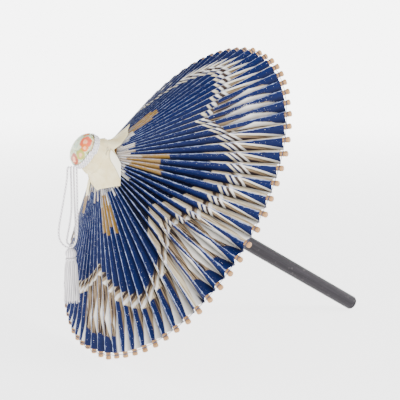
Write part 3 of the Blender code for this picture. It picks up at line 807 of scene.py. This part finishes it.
def tassel_skirt():
    """A ring of separate threads round a solid core."""
    rng = random.Random(11)
    threads = 64
    shape = bmesh.new()
    turned(shape, [(0.0022, -0.0512), (0.0024, -0.0522), (0.0030, -0.0540), (0.0035, -0.0640),
                   (0.0037, -0.0735), (0.0034, -0.0742)], 40, TASSEL)
    for i in range(threads):
        skirt_thread(shape, rng, TURN * (i + rng.uniform(-0.25, 0.25)) / threads, i)
    skirt = put("tassel_threads", shape, SILK, 60.0, TASSEL)
    give_strands(skirt, 0.006, 30.0)
    dress(skirt, "tassel", "white_silk", "tassel_skirt")


tassel_bulb()
bind = wound("tassel_wrap", 0.0028, -0.0518, -0.0500, 0.0006, TASSEL)
dress(bind, "tassel", "white_silk", "tassel_binding")
tassel_skirt()


# ---- canopy

def stick_size(along):
    share = min(max(along / RIB_LENGTH, 0.0), 1.0)
    return (RIB_HALF_WIDTH[0] + (RIB_HALF_WIDTH[1] - RIB_HALF_WIDTH[0]) * share,
            RIB_HALF_HEIGHT[0] + (RIB_HALF_HEIGHT[1] - RIB_HALF_HEIGHT[0]) * share)


def radius_at(along):
    return PIVOT_RADIUS + along * math.cos(RIB_DROP)


STICKS = STICKS_PER_RIB * RIB_COUNT
VALLEY_DEEP = [random.Random(5 + i).uniform(0.88, 1.0) for i in range(STICKS)]
RIDGE_LEAN = [random.Random(105 + i).uniform(-0.10, 0.10) for i in range(STICKS)]
CLEAR = 0.00005                         # gap between a stick and its paper
CREST_CLEAR = 0.00015


def paper_place(along, stick, fold, side, lift):
    """A point of the pleated paper over a stick, fold running from its ridge to a valley."""
    width, height = stick_size(along)
    half_pitch = radius_at(along) * math.tan(STICK_STEP / 2.0)
    flat = min(0.34 * width + 0.00010, 0.40 * half_pitch)
    valley = VALLEY_DEEP[(stick + (0 if side > 0 else -1)) % STICKS]
    drop = (half_pitch - flat) * PLEAT_SLOPE * valley * fold
    lean = RIDGE_LEAN[stick % STICKS] * flat
    across = flat + (half_pitch - flat) * fold
    bulge = 0.10 * half_pitch * math.sin(math.pi * fold) * min(1.0, along / PAPER_END + 0.2)
    angle = stick_angle(stick)
    paper = height + CLEAR - drop + lift
    if fold >= 1.0:
        angle += side * STICK_STEP / 2.0
        local = Vector((along, 0.0, paper))
    elif side == 0:
        local = Vector((along, lean, height + CREST_CLEAR + lift))
    else:
        local = Vector((along, side * across + lean * (1.0 - fold), paper + bulge))
    return rib_matrix(angle) @ local


ROWS = [PAPER_START + (PAPER_END - PAPER_START) * (i / 14.0) ** 1.15 for i in range(15)]
FOLDS = [0.0, 0.2, 0.45, 0.72, 1.0]
CREST = -0.12                           # fold value along the top of a ridge
SHEET_SECTORS = 4                       # that one CAD sheet spans


def press(piece):
    """Give a piece its own copy of its mesh."""
    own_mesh(piece)


def canopy_sector(index):
    """Three pleats of paper over one CAD rib's three sticks."""
    shape = bmesh.new()
    layers = {n: shape.loops.layers.float.new(n)
              for n in ("fold", "side", "reach", "turn", "pleat", "petal", "lead", "rays", "gold")}
    columns = []
    marks = {}
    for stick in range(STICKS_PER_RIB * index, STICKS_PER_RIB * (index + 1)):
        middle = wrapped(math.degrees(stick_angle(stick)), SEAMS[-1])
        marks[stick] = print_marks(middle, stick)
        columns += [(stick, fold, -1) for fold in reversed(FOLDS)]
        columns += [(stick, CREST, 0)]
        columns += [(stick, fold, 1) for fold in FOLDS]
    thickness = PAPER_THICKNESS * math.hypot(1.0, PLEAT_SLOPE)
    sheet = ([], [])
    for stick, fold, side in columns:
        shared = len(sheet[0]) > 0 and fold >= 1.0 and side < 0
        for layer, lift in zip(sheet, (thickness, 0.0)):
            layer.append(layer[-1] if shared else
                         [shape.verts.new(paper_place(a, stick, fold, side, lift)) for a in ROWS])
    for corners in sheet_corners(len(columns), len(ROWS)):
        c, d = corners[0][1], corners[2][1]
        if c != d and sheet[0][c] is sheet[0][d]:
            continue
        stick = columns[c][0]
        side = columns[c][2] or columns[d][2]
        face = shape.faces.new([sheet[layer][column][row] for layer, column, row in corners])
        for loop, (_, column, row) in zip(face.loops, corners):
            fold = columns[column][1]
            turn = wrapped(math.degrees(stick_angle(stick + side * fold / 2.0)), SEAMS[-1])
            values = {**marks[stick], "fold": fold, "side": side, "pleat": stick, "turn": turn,
                      "reach": radius_at(ROWS[row]) / TIP_RADIUS, "petal": petal_share(turn)}
            for name, value in values.items():
                loop[layers[name]] = value
    piece = put(f"canopy_pleats_{index + 1:02d}", shape, PAPER, 24.0, AXIS)
    dress(piece, rib_body(index), "printed_oil_paper")
    press(piece)
    face = radius_at(PAPER_END) * math.tan(STICK_STEP / 2.0) * math.hypot(1.0, PLEAT_SLOPE)
    return piece


# ---- sticks

LUG_RADIUS = 0.0013
LUG_ROOT = -0.0006
LUG_FACES = (-0.00073, -0.00015)
FLOOR_TRIM = 0.0009                     # off the sticks beside the lowest rib, which rests on the floor
ROUND_END = ((0.00145, 0.98), (0.00085, 1.0), (0.00035, 0.90), (0.00008, 0.68), (0.0, 0.50))


def stick_ring(shape, matrix, along, wide, tall):
    """A ring round a stick: nearly square at the hub, round towards the rim."""
    sides = 14
    width, height = stick_size(along)
    squareness = 0.55 + 0.45 * min(max(along / 0.090, 0.0), 1.0)
    ring = []
    for k in range(sides):
        a = TURN * (k + 0.5) / sides
        y = math.copysign(abs(math.cos(a)) ** squareness, math.cos(a)) * width * wide
        z = math.copysign(abs(math.sin(a)) ** squareness, math.sin(a)) * height * tall
        ring.append(shape.verts.new(matrix @ Vector((along, y, z))))
    return ring


def add_lug(shape, matrix):
    """The lug under a stick that its strut's end lies beside."""
    outline = [(LUG_DISTANCE + LUG_RADIUS * math.cos(a), -LUG_DEPTH + LUG_RADIUS * math.sin(a))
               for a in (math.pi * (1.0 + i / 8.0) for i in range(9))]
    outline += [(LUG_DISTANCE + LUG_RADIUS, LUG_ROOT), (LUG_DISTANCE - LUG_RADIUS, LUG_ROOT)]
    loops = [[shape.verts.new(matrix @ Vector((x, y, z))) for x, z in outline] for y in LUG_FACES]
    skin(shape, loops)
    for loop in loops:
        shape.faces.new(loop)


def stick_piece(index, which):
    """One bamboo stick: flat tongue at the hub, round at the rim. Which is 0, 1 or 2 across the
    sector; 1 lies on the CAD rib."""
    number = STICKS_PER_RIB * index + which
    rng = random.Random(300 + number)
    angle = stick_angle(number)
    length = RIB_LENGTH + rng.uniform(-0.0006, 0.0002)
    upright = abs(math.degrees(angle) % 360.0 - 270.0)
    if which != 1 and upright < 5.0:
        length -= FLOOR_TRIM
    matrix = rib_matrix(angle)
    shape = bmesh.new()
    stations = [(-0.0012, 0.8, 0.6)]
    stations += [(along, 1.0, 1.0) for along in (0.0, 0.020, 0.045, 0.070, 0.0960)]
    stations += [(0.1002, 0.92, 0.92)]
    stations += [(RIM_THREAD_AT + step, NECK, NECK) for step in (-0.0004, 0.0003)]
    stations += [(length - back, share, share) for back, share in ROUND_END]
    rings = [stick_ring(shape, matrix, *station) for station in stations]
    skin(shape, rings)
    fan(shape, rings[0], matrix @ Vector((stations[0][0], 0.0, 0.0)))
    body_faces = len(shape.faces)
    fan(shape, rings[-1], matrix @ Vector((length, 0.0, 0.0)))
    end_faces = len(shape.faces)
    if number % 2 == 1:                 # every second stick carries a strut
        add_lug(shape, matrix)
    cut = [1.0 if body_faces <= i < end_faces else 0.0 for i in range(len(shape.faces))]
    piece = put(f"stick_{index + 1:02d}_{'abc'[which]}", shape, BAMBOO, 38.0, matrix)
    give(piece, "cut", cut, "FACE")
    give(piece, "stick", [number] * len(piece.data.vertices))
    if which == 1:
        dress(piece, rib_body(index), "bamboo", rib_body(index))
    else:
        dress(piece, rib_body(index), "bamboo")
        press(piece)


def make_struts():
    """Two further struts beside each CAD strut, shaped like it and riding with it."""
    for k in range(STRUT_COUNT):
        body = f"strut_{k + 1:02d}"
        for side, letter in ((-1, "a"), (1, "c")):
            mesh = frame["nodes"][body].data.copy()
            mesh.transform(AXIS @ Matrix.Rotation(side * 2.0 * STICK_STEP, 4, "Z") @ AXIS.inverted())
            mesh.materials.clear()
            mesh.materials.append(STRUT_WOOD)
            piece = add_object(f"{body}_{letter}", mesh)
            dress(piece, body, "bamboo")
            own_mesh(piece)


def thread_span(index):
    """The route of the rim thread across a sector, drooping a little between the sticks."""
    per_stick = 6
    last = STICKS_PER_RIB * per_stick
    route = []
    for i in range(last + 1):
        across = i / per_stick - STICKS_PER_RIB / 2.0
        nearest = across if i in (0, last) else round(across)
        away = min(1.0, abs(across - round(across)) * 2.0)
        sag = 0.0010 * math.sin(math.pi * away / 2.0) ** 2
        pull = math.cos((across - nearest) * STICK_STEP)
        along = RIM_THREAD_AT * (0.5 + 0.5 * pull) - 0.0004 * away
        height = NECK * stick_size(RIM_THREAD_AT)[1] + 0.00025
        matrix = rib_matrix(rib_angle(index) + across * STICK_STEP)
        route.append(matrix @ Vector((along, 0.0, height - sag)))
    return route


def rim_thread(index):
    """Navy thread from stick to stick past the paper's edge, looped once round each."""
    shape = bmesh.new()
    tube(shape, thread_span(index), 0.00017, 6)
    width, height = (NECK * size + 0.00012 for size in stick_size(RIM_THREAD_AT))
    steps = 14
    for which in (-1, 0, 1):
        matrix = rib_matrix(rib_angle(index) + which * STICK_STEP)
        turns = [TURN * k / steps for k in range(steps)]
        tube(shape, [matrix @ Vector((RIM_THREAD_AT, width * math.cos(a), height * math.sin(a)))
                     for a in turns], 0.00015, 5, closed=True)
    piece = put(f"rim_thread_{index + 1:02d}", shape, NAVY, 60.0, AXIS)
    inverse = rib_matrix(rib_angle(index)).inverted()
    places = np.array([inverse @ v.co for v in piece.data.vertices])
    give(piece, "run", places[:, 1])
    give(piece, "girth", places[:, 2] * 300.0)
    dress(piece, rib_body(index), "navy_thread", *(["rim_thread"] if index == 0 else []))
    press(piece)


for sector in range(RIB_COUNT):
    for which in range(STICKS_PER_RIB):
        stick_piece(sector, which)
    paper = canopy_sector(sector)
    if sector % SHEET_SECTORS == 0:
        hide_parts(f"canopy_sheet_{sector // SHEET_SECTORS + 1}")
    rim_thread(sector)
make_struts()


# ---- paper cap

# outline of the square of paper, as angles in degrees and distances over the rim's radius
CAP_OUTLINE = [(35.0, 0.118), (32.0, 0.118), (3.7, 0.164), (-26.6, 0.233), (-78.0, 0.175),
               (-110.0, 0.150), (-113.0, 0.105), (-118.0, 0.225), (-134.0, 0.292), (-150.0, 0.262),
               (-166.0, 0.110), (-180.0, 0.215), (-206.0, 0.240), (-226.0, 0.110), (-245.0, 0.302),
               (-280.0, 0.197), (-309.0, 0.145), (-325.0, 0.118)]
CAP_INNER = 0.0106
CAP_LEAST = CAP_INNER + 0.0002
CAP_TUCK = 0.0010                       # how far the paper runs in under the neck
CAP_RISE = 0.0042                       # up to the neck, and how quickly
CAP_RISE_WIDTH = 0.0028
CAP_WEDGES = 8


def on_circle(degrees, radius):
    return polar(radius, math.radians(degrees), 0.0).to_2d()


def cap_height(radius, angle):
    """Height of the cap's underside: on the ridges, then up to the neck."""
    along = (radius - PIVOT_RADIUS) / math.cos(RIB_DROP)
    ridge = (stick_size(along)[1] + 0.0007) / math.cos(RIB_DROP)
    rise = CAP_RISE * math.exp((CAP_INNER - radius) / CAP_RISE_WIDTH)
    ripple = 0.00030 * math.sin(9.0 * angle) * min(1.0, radius / 0.02)
    return RIB_PIVOT_Z - along * math.sin(RIB_DROP) + ridge + rise + ripple


def cap_reach(degrees):
    """Where a ray at an angle crosses the straight edges between the outline's corners."""
    degrees = wrapped(degrees, CAP_OUTLINE[0][0])
    near = 1e-9
    for (a0, r0), (a1, r1) in zip(CAP_OUTLINE, CAP_OUTLINE[1:]):
        if a1 - near <= degrees <= a0 + near:
            corner = on_circle(a0, r0)
            ray = on_circle(degrees, 1.0)
            edge = on_circle(a1, r1) - corner
            return max(TIP_RADIUS * corner.cross(edge) / ray.cross(edge), CAP_LEAST)
    return CAP_LEAST


def cap_angles(middle):
    """Angles of a wedge's columns: even steps, and the outline's corners among them."""
    half = 180.0 / CAP_WEDGES
    steps = 12
    angles = {middle - half + 2.0 * half * i / steps for i in range(steps + 1)}
    for corner, _ in CAP_OUTLINE:
        here = corner + 360.0 * math.ceil((middle - half - corner) / 360.0)
        if middle - half < here < middle + half:
            angles.add(here)
    return sorted(angles)


def cap_wedge(number):
    """An eighth of the cap's paper, from the neck to the cap's edge, moved by its middle rib."""
    index = 3 * number + 1
    angles = cap_angles(math.degrees(rib_angle(index)))
    rows = 8
    shape = bmesh.new()
    sheet = ([], [])
    for degrees in angles:
        a = math.radians(degrees)
        depth = cap_reach(degrees) - CAP_INNER + CAP_TUCK
        radii = [CAP_INNER - CAP_TUCK + depth * n / rows for n in range(rows + 1)]
        for layer, lift in zip(sheet, (PAPER_THICKNESS, 0.0)):
            layer.append([shape.verts.new(AXIS @ polar(r, a, cap_height(r, a) + lift)) for r in radii])
    for corners in sheet_corners(len(angles), rows + 1):
        shape.faces.new([sheet[layer][column][row] for layer, column, row in corners])
    piece = put(f"cap_wedge_{number + 1}", shape, IVORY, 30.0, AXIS)
    dress(piece, rib_body(index), "ivory_paper")
    press(piece)


LEAN = 0.0008                           # the head's lean towards its underside
LEAN_FROM = 0.0500                      # height at which the sleeve starts to lean, and over what
LEAN_OVER = 0.0075
HEAD = AXIS @ Matrix.Translation((0.0, -LEAN, 0.0))


def cap_neck():
    """The cap's paper gathered round the neck and down behind the wedges."""
    def gathers(a, n):
        return 1.0 + 0.016 * math.sin(17.0 * a + 0.6 * n) + 0.010 * math.sin(9.0 * a)

    profile = [(0.0086, NECK_HIGH + 0.0012), (0.0091, NECK_HIGH + 0.0006), (0.0092, NECK_HIGH - 0.0010),
               (0.0092, 0.0585), (0.0093, 0.0570), (0.0097, 0.0558), (0.0102, 0.0546), (0.0108, 0.0536),
               (0.0112, 0.0528), (0.0108, 0.0520), (0.0106, 0.0500), (0.0104, 0.0484), (0.0098, 0.0484),
               (0.0096, 0.0530)]
    shape = bmesh.new()
    turned(shape, profile, 96, AXIS, gathers)
    inverse = AXIS.inverted()
    for vertex in shape.verts:
        share = min(max(((inverse @ vertex.co).z - LEAN_FROM) / LEAN_OVER, 0.0), 1.0)
        vertex.co -= AXIS.to_3x3() @ Vector((0.0, LEAN * share, 0.0))
    sleeve = put("cap_neck", shape, IVORY, 40.0, AXIS)
    dress(sleeve, "frame", "ivory_paper", "cap_paper")


def crown_dome():
    """Domed crown with its paper gathered in under the rim."""
    depths = (0.0, 0.004, 0.008, 0.012, 0.020, 0.028, 0.034, 0.030)

    def gathers(a, n):
        return 1.0 + depths[n] * math.sin(14.0 * a + 0.9 * math.sin(3.0 * a))

    profile = [(0.0010, 0.0670), (0.0030, 0.0668), (0.0052, 0.0663), (0.0072, 0.0654), (0.0087, 0.0641),
               (0.0095, 0.0629), (0.0096, 0.0622), (0.0092, 0.0616)]
    shape = bmesh.new()
    turned(shape, profile, 112, HEAD, gathers)
    crown = put("crown_dome", shape, PRINTED, 60.0, AXIS)
    dress(crown, "frame", "blossom_paper", "crown_cover")


for number in range(CAP_WEDGES):
    cap_wedge(number)
cap_neck()
crown_dome()
ring = wound("neck_winding", CAP_RADIUS + 0.0003 + CORD / 2.0, NECK_LOW, NECK_HIGH, 0.00105, HEAD, 0.00015)
dress(ring, "frame", "white_silk", "neck_cord")


# ---- pieces carried over from the CAD

CARRIED = {"shaft": LACQUER, "upper_hub": WOOD, "runner": WOOD, "head_block": WOOD,
           "runner_catch": BRASS, "hub_thread": TIED, "runner_thread": TIED,
           **{f"strut_{number + 1:02d}": STRUT_WOOD for number in range(STRUT_COUNT)}}
for name, look in CARRIED.items():
    materials = frame["nodes"][name].data.materials
    materials.clear()
    materials.append(look)


# ---- floor and light

FLOOR_RADIUS = 12.0
LIGHTS = (("key", (0.75, -1.1, 0.75), 0.5, 26.0), ("top", (-0.3, -0.3, 1.5), 0.9, 9.0))
AIM = Vector((-0.03, 0.0, 0.08))


def make_stage():
    shape = bmesh.new()
    bmesh.ops.create_circle(shape, cap_ends=True, segments=96, radius=FLOOR_RADIUS)
    bmesh.ops.triangulate(shape, faces=shape.faces)
    floor = put("studio_floor", shape, floor_paint(), 40.0)
    world = bpy.data.worlds.new("studio")
    world.use_nodes = True
    tree = world.node_tree
    background = tree.nodes["Background"]
    background.inputs["Color"].default_value = (1.0, 1.0, 1.0, 1.0)
    split = tree.nodes.new("ShaderNodeSeparateXYZ")
    tree.links.new(tree.nodes.new("ShaderNodeTexCoord").outputs["Generated"], split.inputs[0])
    fade = tree.nodes.new("ShaderNodeMapRange")
    fade.interpolation_type = "SMOOTHSTEP"
    for socket, value in (("From Min", 0.06), ("From Max", 0.55), ("To Min", HORIZON), ("To Max", SKY)):
        fade.inputs[socket].default_value = value
    tree.links.new(split.outputs["Z"], fade.inputs["Value"])
    tree.links.new(fade.outputs["Result"], background.inputs["Strength"])
    bpy.context.scene.world = world
    for name, place, size, power in LIGHTS:
        light = bpy.data.lights.new(name, "AREA")
        light.size = size
        light.energy = power
        holder = add_object(name, light)
        holder.location = place
        holder.rotation_mode = "QUATERNION"
        holder.rotation_quaternion = (AIM - Vector(place)).to_track_quat("-Z", "Y")


make_stage()
